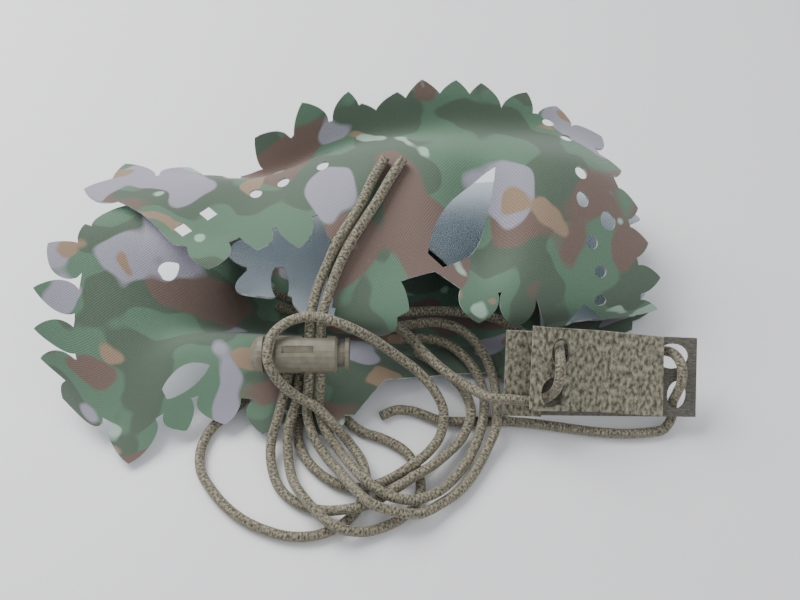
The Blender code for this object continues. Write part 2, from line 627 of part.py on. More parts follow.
def box_section(x, z, length, height):
    """Rectangle (x, z) round a middle point."""
    return [(x - length / 2, z - height / 2), (x + length / 2, z - height / 2),
            (x + length / 2, z + height / 2), (x - length / 2, z + height / 2)]


# ---------------------------------------------------------------- the parts

def build_cloth():
    """The sheet with its leaves, holes and openings, folded into three layers."""
    solid = [divided(BODY_CORNERS, LONGEST_EDGE)]
    solid += [leaf_outline(leaf) for leaf in LEAVES]
    empty = [leaf_outline(leaf) for leaf in OPENINGS]
    empty += [oval_outline(hole.x, hole.along, hole.diameter, hole.diameter, hole.sides)
              for hole in HOLES]
    outlines = joined_outlines(solid, empty)
    sheet_object("scrim_cloth", outlines, folded_cloth, SHEET_THICKNESS,
                 (SHEET_STEP, SHEET_MARGIN), "camouflage_cloth")


def build_tab():
    """The backing strip and the two pieces of loop pile."""
    grid = (TAB_STEP, TAB_MARGIN)
    base_cuts = [oval_outline(*slot, SLOT_SIDES) for slot in BASE_SLOTS]
    front_cuts = [oval_outline(*slot, SLOT_SIDES) for slot in FRONT_SLOTS]
    sheet_object("tab_base", [divided(BASE_CORNERS, TAB_STEP)] + base_cuts,
                 tab_layer(BASE_THICKNESS / 2), BASE_THICKNESS, grid, "tab_backing")
    rear_out = BASE_THICKNESS + LAYER_GAP + PILE_THICKNESS / 2
    sheet_object("tab_rear_pile", [divided(REAR_CORNERS, TAB_STEP)],
                 tab_layer(rear_out), PILE_THICKNESS, grid, "loop_pile")
    sheet_object("tab_front_pile", [divided(FRONT_CORNERS, TAB_STEP)] + front_cuts,
                 front_pile_laid, PILE_THICKNESS, grid, "loop_pile")


def build_cords():
    """Every cord, with the tab cord carried through the tab."""
    for name, route in CORD_ROUTES.items():
        cord_object(name, smooth_route(route, CORD_STEP))
    through = [tuple(point) for point in tab_points(TAB_CORD_THROUGH)]
    route = list(TAB_CORD_IN) + through + list(TAB_CORD_OUT)
    cord_object("tab_cord", smooth_route(route, TAB_CORD_STEP))


def build_lock():
    """The barrel and its sprung button, both on the barrel's axis."""
    frame = Matrix.Translation(Vector(LOCK_PLACE) * MM)
    frame = frame @ Matrix.Rotation(math.radians(LOCK_SLOPE), 4, "X")
    reach = 9.0
    for name, profile, hole in (("lock_barrel", BARREL_PROFILE, BARREL_HOLE),
                                ("lock_button", BUTTON_PROFILE, BUTTON_HOLE)):
        piece = add_object(name, turned_mesh(name, profile), "lock_plastic")
        piece.matrix_world = frame
        middle, length, width = hole
        section = box_section(middle, 0, length, width)
        cut_with(piece, prism_cutter(name + "_cord_hole", section, -reach, reach), frame)
    x, up, out = WINDOW_PLACE
    length, height, depth = WINDOW_SIZE
    section = box_section(x, out, length, depth)
    window = prism_cutter("barrel_window", section, up - height / 2, up + height / 2)
    cut_with(bpy.data.objects["lock_barrel"], window, frame)


def build():
    """Everything, in an empty scene, under one empty at the base's centre."""
    for thing in list(bpy.data.objects):
        bpy.data.objects.remove(thing)
    root = bpy.data.objects.new("scrim", None)
    root.location = (-BASE_CENTRE[0] * MM, -BASE_CENTRE[1] * MM, 0)
    bpy.context.scene.collection.objects.link(root)
    build_cloth()
    build_tab()
    build_cords()
    build_lock()


build()
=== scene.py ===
import logging
import math
from collections import namedtuple
from collections.abc import Callable, Sequence
from dataclasses import dataclass
from enum import Enum

import bpy
import numpy as np
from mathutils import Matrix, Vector
from mathutils.geometry import delaunay_2d_cdt


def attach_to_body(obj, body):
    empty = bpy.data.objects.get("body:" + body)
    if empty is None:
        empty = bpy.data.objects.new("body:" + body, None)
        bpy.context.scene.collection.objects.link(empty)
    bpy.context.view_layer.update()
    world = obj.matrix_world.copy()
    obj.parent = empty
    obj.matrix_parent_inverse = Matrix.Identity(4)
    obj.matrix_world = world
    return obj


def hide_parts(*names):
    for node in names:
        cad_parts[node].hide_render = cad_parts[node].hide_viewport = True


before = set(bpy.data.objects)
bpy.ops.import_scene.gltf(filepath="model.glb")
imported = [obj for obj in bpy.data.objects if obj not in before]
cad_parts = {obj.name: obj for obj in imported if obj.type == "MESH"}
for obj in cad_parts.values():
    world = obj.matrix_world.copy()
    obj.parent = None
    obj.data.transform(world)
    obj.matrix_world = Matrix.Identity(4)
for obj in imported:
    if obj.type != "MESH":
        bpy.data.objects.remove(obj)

Array = np.ndarray
MM = 0.001
BASE_CENTRE = (-1.05, 6.35)        # middle of the folded cloth on the surface: the origin

# ---------------------------------------------------------------- the sheet

SHEET_THICKNESS = 1.0
SHORTEST_EDGE = 0.5      # cut edges shorter than this are merged
SMALLEST_LOOP = 6.0      # area below which an outline is only a sliver
LEAF_STEPS = 14          # points along each side of a leaf
RIPPLE = 0.6             # height of the sheet's small waves
VALLEY = 12.0            # depth of the dip beside the long opening in the top layer
VALLEY_PLACE = (40, 222)
VALLEY_SIZE = (11, 15)

# Places along the folds at which every fold line is given.
STATIONS = (-98, -75, -55, -35, -10, 35, 70, 98)

FoldLine = namedtuple("FoldLine", "name along depth height")

# The section of the folded sheet, from the front edge of the bottom layer to
# the back edge of the top one: distance along the flat cut, then the depth (y)
# and the height (z) of the line at each station.  A height below zero is
# pressed flat on the surface.
FOLD_LINES = (
    FoldLine("front edge", 0,
             (-30, -46, -38, -38, -40, -30, -14, 2), (8, 5, 5, 5, 5, 2, 1, 2)),
    FoldLine("front wall of the hollow", 28,
             (-20, -26, -17, -15, -14, -12, -2, 10), (24, 16, 19, 17, 10, 2, 0, 3)),
    FoldLine("hollow", 52,
             (-4, -4, -4, 0, 2, 2, 10, 18), (36, 28, 14, 3, -1, -1, -1, -1)),
    FoldLine("end wall and floor", 74,
             (14, 14, 12, 18, 20, 20, 24, 28), (42, 38, 32, 3, -1, -1, -1, -1)),
    FoldLine("back of the floor", 100,
             (36, 36, 34, 42, 45, 46, 46, 44), (40, 38, 30, 2, -1, -1, -1, -1)),
    FoldLine("back fold", 117,
             (50, 50, 50, 54, 60, 63, 62, 54), (40, 38, 30, 9, 9, 9, 9, 8)),
    FoldLine("back of the middle layer", 134,
             (44, 44, 44, 42, 46, 48, 46, 42), (44, 42, 30, 19, 19, 19, 18, 15)),
    FoldLine("middle layer", 158,
             (20, 20, 20, 20, 22, 22, 22, 22), (30, 28, 26, 25, 24, 22, 17, 12)),
    FoldLine("front of the middle layer", 182,
             (-2, -2, -2, -2, -9, -12, -4, 4), (26, 26, 25, 24, 17, 17, 12, 8)),
    FoldLine("front fold", 191,
             (-2, -2, -2, -3, -13, -14, -6, 3), (34, 34, 34, 32, 25, 25, 18, 12)),
    FoldLine("front of the top layer", 212,
             (10, 14, 12, 10, 4, 3, 8, 14), (38, 41, 40, 40, 38, 40, 33, 22)),
    FoldLine("crown", 238,
             (28, 30, 31, 32, 36, 34, 36, 36), (42, 44, 44, 43, 49, 54, 47, 30)),
    FoldLine("dip behind the crown", 256,
             (42, 43, 43, 42, 50, 53, 54, 50), (41, 42, 39, 37, 43, 48, 43, 30)),
    FoldLine("back edge", 272,
             (52, 52, 52, 52, 57, 60, 63, 60), (40, 40, 44, 54, 56, 58, 46, 32)),
)

# Corners of the flat cut without its leaves: place along the fold, distance
# along the cut.
BODY_CORNERS = (
    # front edge of the bottom layer
    (-88, 8), (-66, 6), (-44, 9), (-20, 4), (-2, 4), (8, 17), (30, 20), (60, 14), (93, 6),
    # right side of all three layers
    (95, 40), (92, 80), (94, 117), (91, 150), (93, 186), (94, 205), (90, 225), (84, 245),
    # back edge of the top layer
    (78, 262), (60, 266), (30, 264), (0, 266), (-30, 264), (-34, 250),
    (-46, 242), (-64, 245), (-78, 240), (-81, 229), (-74, 221),
    # front of the strip, then the front edge of the dome
    (-61, 206), (-47, 206), (-33, 216), (-14, 222), (-7, 212), (-9, 198),
    (8, 198), (10, 206), (24, 208), (33, 203), (46, 203), (57, 201), (60, 190),
    # front and left end of the middle layer
    (60, 168), (30, 164), (10, 152), (-6, 148), (-11, 156), (-12, 174), (-38, 174),
    (-41, 150), (-36, 125),
    # left end of the bottom layer, which stands up round the hollow
    (-42, 100), (-49, 84), (-56, 73), (-74, 75), (-89, 62), (-92, 34),
)

Leaf = namedtuple("Leaf", "x along heading length width")

# Leaf points round the sheet: root, heading of the tip in degrees, length, width.
END_WALL_LEAVES = (
    Leaf(-76, 69, 97, 17, 19), Leaf(-89, 57, 145, 14, 12), Leaf(-58, 65, 45, 14, 14),
    Leaf(-85, 64, 115, 12, 8), Leaf(-66, 71, 75, 9, 8), Leaf(-90, 46, 175, 14, 10),
    Leaf(-90, 33, 190, 14, 10), Leaf(-88, 20, 195, 15, 12), Leaf(-85, 10, 220, 15, 12),
)
BOTTOM_LEAVES = (
    Leaf(-72, 9, 265, 17, 13), Leaf(-60, 9, 288, 13, 8), Leaf(-47, 11, 285, 13, 12),
    Leaf(-30, 7, 262, 11, 11), Leaf(-12, 6, 278, 10, 11), Leaf(50, 18, 268, 9, 11),
    Leaf(74, 12, 275, 9, 11),
)
RIGHT_LEAVES = (
    Leaf(92, 22, 355, 10, 10), Leaf(91, 52, 8, 9, 10), Leaf(90, 96, 0, 9, 10),
    Leaf(90, 134, 10, 9, 10), Leaf(90, 168, 350, 9, 10), Leaf(89, 193, 345, 12, 9),
    Leaf(90, 205, 5, 11, 9), Leaf(87, 218, 10, 10, 9), Leaf(85, 231, 8, 9, 9),
    Leaf(80, 245, 20, 10, 9), Leaf(75, 258, 45, 12, 11),
)
BACK_LEAVES = (
    Leaf(66, 260, 85, 14, 10), Leaf(51, 260, 72, 17, 9), Leaf(42, 260, 96, 17, 10),
    Leaf(31, 259, 88, 18, 11), Leaf(21, 259, 93, 18, 12), Leaf(10, 260, 82, 13, 11),
    Leaf(1, 260, 98, 10, 9), Leaf(-6, 261, 85, 14, 8), Leaf(-16, 260, 108, 14, 10),
    Leaf(-26, 258, 140, 14, 10), Leaf(-28, 252, 178, 14, 9),
)
STRIP_LEAVES = (
    Leaf(-43, 238, 85, 10, 8), Leaf(-51, 238, 75, 12, 9), Leaf(-62, 239, 80, 16, 12),
    Leaf(-74, 237, 112, 17, 12), Leaf(-76, 234, 165, 17, 13), Leaf(-49, 211, 270, 15, 12),
    Leaf(-35, 219, 278, 12, 10), Leaf(-22, 223, 280, 11, 10),
)
FRONT_LEAVES = (
    Leaf(2, 203, 268, 22, 17), Leaf(5, 204, 332, 12, 10), Leaf(38, 206, 270, 14, 11),
    Leaf(51, 206, 268, 17, 10), Leaf(-34, 178, 264, 13, 13), Leaf(-17, 180, 285, 13, 13),
    Leaf(-36, 160, 165, 10, 9),
)
LEAVES = (END_WALL_LEAVES + BOTTOM_LEAVES + RIGHT_LEAVES + BACK_LEAVES
          + STRIP_LEAVES + FRONT_LEAVES)

Hole = namedtuple("Hole", "x along diameter sides")

# Lacing holes are round; the strip also has two square ones.
HOLES = (
    Hole(64, 262, 4.2, 8), Hole(70, 254, 4.2, 8), Hole(73, 236, 4.2, 8),
    Hole(73, 228, 4.2, 8), Hole(82, 224, 5.4, 8), Hole(76, 217, 4.2, 8),
    Hole(79, 208, 4.2, 8), Hole(79, 198, 4.2, 8), Hole(-35, 231, 4.2, 8),
    Hole(-26, 234, 4.2, 8), Hole(-13, 237, 4.2, 8),
    Hole(-50, 221, 6.2, 4), Hole(-58, 213, 6.2, 4),
)

# Leaf-shaped openings inside the sheet.
OPENINGS = (
    Leaf(24, 211, 52, 33, 10),     # long opening in the top layer
    Leaf(74, 180, 92, 17, 10),     # front fold
    Leaf(-28, 166, 85, 13, 5),     # notch in the pale leaf of the middle layer
    Leaf(-63, 13, 18, 15, 8),      # front wall of the hollow
    Leaf(-66, 62, 40, 8, 4),       # slot in the end wall
)

# ---------------------------------------------------------------- the cords

CORD_DIAMETER = 3.2
CORD_STEP = 8.0          # spacing of a cord tube's points
TAB_CORD_STEP = 5.2      # closer where the cord weaves through the tab

# Routes of the cords, each from the end inside the folded cloth or under the
# lock, or from its first cut end.
CORD_ROUTES = {
    "draw_cord_left": (
        (10, -2.2, 7.5), (18.4, -2.8, 10.5), (28.6, -3.2, 11), (36.5, -7.2, 9),
        (41.8, -14.9, 6), (44, -24.5, 5), (44.2, -31, 5.4), (43.4, -40.8, 5.6),
        (39, -50, 3), (32.4, -60.5, 2.6), (25, -66.7, 3.2), (18.6, -70.8, 5),
        (11.8, -71.3, 7.2), (5.1, -70.1, 8.8), (-1.5, -64.1, 8.8), (-5.8, -57.6, 6.6),
        (-10.5, -50.8, 4.4), (-13.5, -46.5, 5.8), (-16.4, -41, 8), (-17.2, -35.5, 9.7),
        (-16.7, -32.6, 13.8), (-16.1, -29.2, 17.9), (-16.1, -24, 22.6),
        (-16.1, -18.8, 27.3), (-15.6, -14, 30), (-14.2, -7.5, 33), (-10.7, 0, 38),
        (-7, 6.4, 43.4), (-3.6, 11.4, 45.6), (0, 16.9, 48.5), (4.1, 25, 52.4),
        (7.9, 31.2, 55.1),
    ),
    "draw_cord_right": (
        (13, -7, 7.4), (19, -6.6, 7.6), (28.6, -8.7, 7), (36.3, -15.9, 5.4),
        (39.5, -22.8, 4.5), (40.2, -29.9, 5), (39.2, -38.7, 5.6), (36.4, -46.7, 3),
        (30.9, -56, 3.2), (23.8, -63.7, 5), (15.8, -67, 6.6), (8.4, -66, 8.2),
        (1, -60.9, 10), (-2.6, -55.5, 8), (-6.2, -49, 4.9), (-10, -44.5, 7.2),
        (-12.3, -39.4, 8.4), (-13.5, -35.2, 9.7), (-13, -32.6, 13.8), (-12.5, -29.2, 17.9),
        (-12.5, -24, 22.6), (-12.5, -18.8, 27.3), (-12, -14.6, 30.2), (-10.6, -10.1, 33),
        (-8.3, -4.7, 37), (-5.3, 1.8, 40.8), (-1.8, 7.4, 44), (2, 12.8, 46.9),
        (6.2, 18.7, 50.2), (10.7, 25.8, 53.9), (13.7, 30.2, 55.7),
    ),
    "loop_cord": (
        (-38, -27, 1.8), (-43.5, -33, 1.8), (-48, -38, 1.8), (-50.6, -44.3, 1.8),
        (-51.2, -51.1, 1.8), (-48.2, -57.8, 1.8), (-42, -65.9, 1.8), (-34.7, -71.7, 1.8),
        (-26.5, -75.4, 1.8), (-17.3, -77, 1.8), (-8.6, -75, 1.8), (-3.4, -71.4, 1.8),
        (0, -66.8, 1.8), (1.8, -62.9, 4.6), (2.1, -58.9, 6), (0.4, -51.9, 4.9),
        (-3, -46.4, 4.6), (-6.4, -43.5, 8.4), (-10.6, -41, 12.1), (-13, -38.6, 13.3),
        (-16, -37.3, 14.5), (-18.5, -36.5, 15.9), (-23.5, -34.6, 20.4), (-27.4, -32.6, 25.4),
        (-28.6, -27.8, 29.7), (-27.2, -22.4, 31), (-22.5, -17.6, 31.4), (-15.2, -16.9, 33.2),
        (-6.7, -18.8, 32.5), (1.6, -20.2, 28), (7.9, -21, 22.4), (13, -22.5, 18),
        (19.2, -25.6, 14), (23.4, -29.4, 11), (26.3, -32.9, 8), (26.6, -37.8, 5.8),
        (25.6, -42.5, 3.6), (22.3, -47.9, 3.8), (17.1, -54, 6), (12.7, -56.5, 4),
        (8.9, -57.8, 2.4), (4.3, -59.6, 1.8), (-1.4, -60.2, 1.8), (-6.5, -59.2, 1.8),
        (-12.8, -55, 1.8), (-17.8, -49, 1.8), (-20.4, -40.5, 1.8), (-19.5, -33, 1.8),
        (-18, -27, 1.8),
    ),
    "left_run": (
        (-23.2, -25.2, 14.7), (-24.8, -33, 11.2), (-26.6, -39.9, 8),
        (-28.6, -48, 3.4), (-26.6, -56.7, 1.8), (-22.3, -63.7, 1.8), (-16.3, -66.9, 1.8),
        (-11.3, -68.4, 2.5), (-5.8, -69.6, 5.4), (-2.2, -69.8, 5.9), (1.3, -68.6, 5.6),
        (5.4, -66.5, 5), (9, -63.6, 4.2), (13.3, -60.1, 4.6), (17.7, -58.4, 6.0),
        (25.3, -51.5, 4.2), (32.7, -42.9, 3.2), (35.7, -35.2, 6.0), (33.8, -26.7, 5.2),
        (29.3, -20.3, 5.4), (23.3, -16, 7.4), (17.7, -12.6, 8.2),
    ),
    "inner_run": (
        (-18.8, -19, 15.1), (-19.6, -26, 13.2), (-21, -35.3, 9.8), (-23.2, -43.3, 6),
        (-23, -48, 3.6), (-22.2, -53, 1.8), (-20.6, -59, 3.4), (-17.9, -64.2, 5.8),
        (-12.2, -71, 5.7), (-6.5, -75.6, 5.6), (0.6, -75.9, 3), (7.2, -73.9, 1.8),
        (13.6, -70.3, 1.8), (18.2, -64.8, 1.8), (19.2, -58.5, 1.8), (18, -53.6, 1.8),
        (16.2, -49.7, 1.8), (11.7, -44.8, 1.8), (4.6, -41.5, 1.8), (-2, -38.5, 1.8),
        (-6, -34, 1.8),
    ),
    "back_run": (
        (62, -13, 11), (54, -9, 13), (46.9, -3.6, 13.6), (36.4, -0.1, 12.8),
        (26.6, 1.6, 12), (18, 1.8, 11.2), (9.3, 2.2, 10), (-5, 4.6, 8.4),
        (-18.5, 8, 6.8), (-26, 11.5, 5.8), (-32.5, 14.7, 5.7),
    ),
}

# The tab cord in three stretches: from its first cut end to the tab, through
# the tab (in the tab's own places), and on to its other cut end.
TAB_CORD_IN = (
    (-30.1, 8.1, 5.7), (-21.8, 4.9, 6.2), (-11.2, 0.7, 7.6), (-1.8, -2.6, 10.5),
    (7.3, -4.3, 13.8), (13, -9, 15.6), (19.6, -17.4, 16), (24.5, -22.5, 15),
    (29.2, -26.4, 14), (35, -30.2, 13.2),
)
TAB_CORD_THROUGH = (
    (-4, 6, 5.6), (1, 6, 5.4), (6, 5.6, 5.3), (10.5, 5.8, 5.1), (13.8, 7.2, 5.6),
    (15.3, 9.6, 8), (16, 12.5, 10.7), (16.3, 16, 11.5), (16.3, 19.2, 10.7), (16.4, 21.8, 7.2),
    (16.8, 22.9, 3.4), (17.8, 23.2, 0.4), (20.5, 23.4, -2.2), (29, 23.3, -2.7),
    (38, 22.8, -2.7), (47, 22.4, -2.5), (52, 22.2, -1.4), (54.6, 21.2, 1.4),
    (55.8, 18.6, 3.6), (56.2, 15.2, 4.2), (56, 12, 3.4), (55.6, 9, 0.9),
    (55.2, 6, -1.9), (54.8, 2, -2.6), (54.6, -2.5, -1),
)
TAB_CORD_OUT = (
    (97.4, -39.2, 1.9), (92, -40.3, 1.8), (84.2, -40.6, 1.8), (74.2, -39.7, 1.8),
    (65.9, -38.4, 1.8), (56.6, -36.9, 1.8), (46.9, -36, 1.8), (35.5, -36, 1.8),
    (25.4, -35.6, 1.8), (18.9, -32.8, 1.8), (12.5, -31.4, 1.8), (6.5, -34, 1.8),
)

# ---------------------------------------------------------------- the tab

TAB_PLACE = (45.8, -36, 6.2)     # lower left corner of the back of the tab
TAB_SLOPE = 43.4                 # degrees from flat
TAB_LEAN = -2.0                  # degrees in its own plane, right end down
BASE_THICKNESS = 1.2
PILE_THICKNESS = 1.6
LAYER_GAP = 0.3
BASE_CORNERS = ((0, 0), (62, 1.5), (61, 27), (0, 27.5))
REAR_CORNERS = ((0, 0.2), (12, 0.2), (12, 27.5), (0, 27.5))
FRONT_CORNERS = ((7.5, 3.5), (51, 1.5), (50, 27.2), (7.5, 30))
FRONT_LIFT = 6.4                 # rise of the front pile where the cord runs under it
FRONT_LIFT_FROM = 8.0
FRONT_LIFT_TO = 34.0
Slot = namedtuple("Slot", "x up width height")
FRONT_SLOTS = (Slot(14.6, 9.0, 7.6, 9.8), Slot(16.6, 21.9, 6.0, 8.8))
BASE_SLOTS = (Slot(18, 23.0, 7.6, 6.4), Slot(53.4, 20.9, 10.4, 8.2), Slot(55.5, 8.4, 6.2, 9.2))

# ---------------------------------------------------------------- curves


def hermite_weights(places: Sequence, at: Array) -> Array:
    """Weights that read, at the places in at, a smooth curve through values given at places.

    Args:
        places: rising places at which the values are given
        at: places to read

    Returns:
        one row of weights for each place to read, one column for each value
    """
    places = np.asarray(places, float)
    at = np.asarray(at, float)
    values = np.eye(len(places))
    slopes = np.gradient(values, places, axis=0)
    inner = np.clip(at, places[0], places[-1])
    cell = np.clip(np.searchsorted(places, inner, side="right") - 1, 0, len(places) - 2)
    width = (places[cell + 1] - places[cell])[:, None]
    t = (inner - places[cell])[:, None] / width
    weights = (1 + 2 * t) * (1 - t) ** 2 * values[cell]
    weights += t * (1 - t) ** 2 * width * slopes[cell]
    weights += t ** 2 * (3 - 2 * t) * values[cell + 1]
    weights += t ** 2 * (t - 1) * width * slopes[cell + 1]
    nearer_end = np.where(at < inner, 0, len(places) - 1)
    return weights + (at - inner)[:, None] * slopes[nearer_end]


def run_length(points: Array) -> Array:
    """Distance along a line of points, from its first one."""
    return np.r_[0, np.cumsum(np.linalg.norm(np.diff(points, axis=0), axis=1))]


def smooth_route(route: Sequence, spacing: float) -> Array:
    """Evenly spaced points on a smooth curve through a route's own points.

    Args:
        route: points of the route
        spacing: distance between the points returned

    Returns:
        the points, one row each
    """
    route = np.array(route, float)
    chord = run_length(route)
    steps = 20 * len(route)
    fine = hermite_weights(chord, np.linspace(0, chord[-1], steps)) @ route
    run = run_length(fine)
    even = np.linspace(0, run[-1], round(run[-1] / spacing) + 1)
    return np.column_stack([np.interp(even, run, fine[:, axis]) for axis in range(3)])


# ---------------------------------------------------------------- flat cuts


def leaf_outline(leaf: Leaf) -> Array:
    """Outline of a leaf: narrow at its root, widest past its middle, pointed at its tip.

    Args:
        leaf: the leaf's root, heading, length and width

    Returns:
        the outline from the right of the root round to its left
    """
    part = np.linspace(0, 1, LEAF_STEPS + 1)
    half = leaf.width * (0.3 * (1 - part) + 0.42 * np.sin(np.pi * part ** 0.9) ** 0.8)
    turn = math.radians(leaf.heading)
    heading = np.array([math.cos(turn), math.sin(turn)])
    side = np.array([-heading[1], heading[0]])
    spine = np.array([leaf.x, leaf.along]) + np.outer(part * leaf.length, heading)
    right = spine - np.outer(half, side)
    left = spine + np.outer(half, side)
    return np.vstack([right, left[-2::-1]])


def oval_outline(x: float, up: float, width: float, height: float, sides: int) -> Array:
    """Outline of an oval, or of a square on its corner when it has four sides."""
    turn = 2 * np.pi * np.arange(sides) / sides
    return np.column_stack([x + width / 2 * np.cos(turn), up + height / 2 * np.sin(turn)])


def divided(outline: Sequence, longest: float) -> Array:
    """A closed outline with points added so that no stretch is longer than longest.

    Args:
        outline: corners of the outline
        longest: longest stretch without a point

    Returns:
        the outline with its added points
    """
    outline = np.asarray(outline, float)
    pieces = []
    for start, end in zip(outline, np.roll(outline, -1, axis=0)):
        count = math.ceil(np.linalg.norm(end - start) / longest)
        pieces.append(start + np.outer(np.arange(count) / count, end - start))
    return np.vstack(pieces)


def thinned(outline: Array, shortest: float) -> Array:
    """A closed outline without the points that crowd the one before them.

    Args:
        outline: points of the outline
        shortest: shortest stretch kept

    Returns:
        the thinned outline
    """
    kept = [outline[0]]
    for point in outline[1:]:
        if np.linalg.norm(point - kept[-1]) > shortest:
            kept.append(point)
    if np.linalg.norm(kept[-1] - kept[0]) < shortest:
        kept.pop()
    return np.array(kept)


def enclosed_area(outline: Array) -> float:
    """Area inside a closed outline."""
    x, y = outline.T
    return abs(x @ np.roll(y, -1) - y @ np.roll(x, -1)) / 2


def inside(points: Array, outline: Array) -> Array:
    """Which points lie inside a closed outline.

    Args:
        points: points of the flat cut
        outline: corners of the outline

    Returns:
        true for each point inside
    """
    x = points[:, :1]
    y = points[:, 1:]
    end = np.roll(outline, -1, axis=0)
    rise = end[:, 1] - outline[:, 1]
    crosses = (outline[:, 1] > y) != (end[:, 1] > y)
    rise = np.where(rise == 0, 1, rise)
    reach = outline[:, 0] + (y - outline[:, 1]) * (end[:, 0] - outline[:, 0]) / rise
    return (crosses & (x < reach)).sum(axis=1) % 2 == 1


def in_cut(points: Array, outlines: list) -> Array:
    """Which points lie on the material between the outlines of a flat cut."""
    return np.sum([inside(points, outline) for outline in outlines], axis=0) % 2 == 1


def edge_distance(points: Array, outlines: list) -> Array:
    """Distance of each point from the nearest cut edge.

    Args:
        points: points of the flat cut
        outlines: every outline of the cut

    Returns:
        one distance for each point
    """
    nearest = np.full(len(points), np.inf)
    for outline in outlines:
        for start, end in zip(outline, np.roll(outline, -1, axis=0)):
            edge = end - start
            part = np.clip((points - start) @ edge / (edge @ edge), 0, 1)
            gap = np.linalg.norm(points - start - part[:, None] * edge, axis=1)
            nearest = np.minimum(nearest, gap)
    return nearest


def triangulate(points: Sequence, outlines: list) -> tuple:
    """Triangles between points and along closed outlines: their corners and their faces.

    Args:
        points: inner points
        outlines: outlines that the triangles follow

    Returns:
        the corners and, as rows of corner numbers, the faces
    """
    corners = [Vector(point) for point in points]
    edges = []
    for outline in outlines:
        first = len(corners)
        count = len(outline)
        corners.extend(Vector(point) for point in outline)
        edges.extend((first + i, first + (i + 1) % count) for i in range(count))
    found = delaunay_2d_cdt(corners, edges, [], 0, 1e-4)
    return np.array([corner[:] for corner in found[0]]), np.array([tuple(f) for f in found[2]])


def border_edges(faces: Array) -> list:
    """Edges that only one face has, each in that face's direction."""
    edges = [(int(face[i]), int(face[(i + 1) % 3])) for face in faces for i in range(3)]
    known = set(edges)
    return [edge for edge in edges if (edge[1], edge[0]) not in known]


def joined_outlines(solid: list, empty: list) -> list:
    """Outlines of the solid shapes joined together, less the empty ones.

    Args:
        solid: outlines of material
        empty: outlines of holes and openings

    Returns:
        the outlines of what is left
    """
    corners, faces = triangulate([], solid + empty)
    middle = corners[faces].mean(axis=1)
    kept = np.any([inside(middle, shape) for shape in solid], axis=0)
    kept &= ~np.any([inside(middle, shape) for shape in empty], axis=0)
    following = dict(border_edges(faces[kept]))
    outlines = []
    while following:
        start, here = following.popitem()
        loop = [start]
        while here != start:
            loop.append(here)
            here = following.pop(here)
        outlines.append(corners[loop])
    return [thinned(outline, SHORTEST_EDGE) for outline in outlines
            if enclosed_area(outline) > SMALLEST_LOOP]


def flat_cut(outlines: list, step: float, margin: float) -> tuple:
    """Triangulated flat cut inside the outlines: its points and its faces.

    Args:
        outlines: outlines of the cut
        step: spacing of the inner points
        margin: distance they keep from a cut edge

    Returns:
        the points and the faces
    """
    everything = np.vstack(outlines)
    low = everything.min(axis=0)
    high = everything.max(axis=0)
    columns, rows = np.meshgrid(np.arange(low[0], high[0], step),
                                np.arange(low[1], high[1], step * math.sqrt(0.75)))
    columns[1::2] += step / 2
    grid = np.column_stack([columns.ravel(), rows.ravel()])
    grid = grid[in_cut(grid, outlines)]
    grid = grid[edge_distance(grid, outlines) > margin]
    points, faces = triangulate(grid, outlines)
    return points, faces[in_cut(points[faces].mean(axis=1), outlines)]


# ---------------------------------------------------------------- folding


def folded_cloth(flat: Array) -> Array:
    """Middle of the folded sheet at points (place along the fold, distance along the cut).

    Args:
        flat: points of the flat cut

    Returns:
        the same points on the folded sheet
    """
    across = hermite_weights(STATIONS, flat[:, 0])
    along = hermite_weights([line.along for line in FOLD_LINES], flat[:, 1])
    depth = np.array([line.depth for line in FOLD_LINES], float)
    height = np.array([line.height for line in FOLD_LINES], float)
    off_valley = (flat - VALLEY_PLACE) / VALLEY_SIZE
    wave = np.sin(flat[:, 0] / 7) * np.sin(flat[:, 1] / 9 + flat[:, 0] / 31)
    folded = np.empty((len(flat), 3))
    folded[:, 0] = flat[:, 0]
    folded[:, 1] = np.einsum("ni,ij,nj->n", along, depth, across)
    folded[:, 2] = np.einsum("ni,ij,nj->n", along, height, across) + RIPPLE * wave
    folded[:, 2] -= VALLEY * np.exp(-(off_valley ** 2).sum(axis=1))
    folded[:, 2] = np.maximum(folded[:, 2], SHEET_THICKNESS / 2)
    return folded


def tab_axes() -> Array:
    """The tab's directions: along it, up it, and out of its face."""
    slope = math.radians(TAB_SLOPE)
    lean = math.radians(TAB_LEAN)
    upward = np.array([0, math.cos(slope), math.sin(slope)])
    sideways = np.array([1.0, 0, 0])
    along = math.cos(lean) * sideways + math.sin(lean) * upward
    up = math.cos(lean) * upward - math.sin(lean) * sideways
    return np.array([along, up, np.cross(along, up)])


def tab_points(places: Sequence) -> Array:
    """Places in the tab (along, up, out) as points of the object."""
    return np.array(TAB_PLACE) + np.asarray(places, float) @ tab_axes()


def tab_layer(out: float) -> Callable:
    """Fold function of a flat layer of the tab whose middle lies at out.

    Args:
        out: height of the layer's middle above the back of the tab

    Returns:
        the function that lays the layer
    """
    def laid(flat: Array) -> Array:
        """The flat layer at its height."""
        return tab_points(np.column_stack([flat, np.full(len(flat), out)]))
    return laid


def front_pile_laid(flat: Array) -> Array:
    """Middle of the front pile: flat at the right, lifted by the cord at the left.

    Args:
        flat: points of the flat cut

    Returns:
        the same points on the pile
    """
    part = (FRONT_LIFT_TO - flat[:, 0]) / (FRONT_LIFT_TO - FRONT_LIFT_FROM)
    part = np.clip(part, 0, 1)
    rest = BASE_THICKNESS + LAYER_GAP + PILE_THICKNESS / 2
    out = rest + FRONT_LIFT * part ** 2 * (3 - 2 * part)
    return tab_points(np.column_stack([flat, out]))


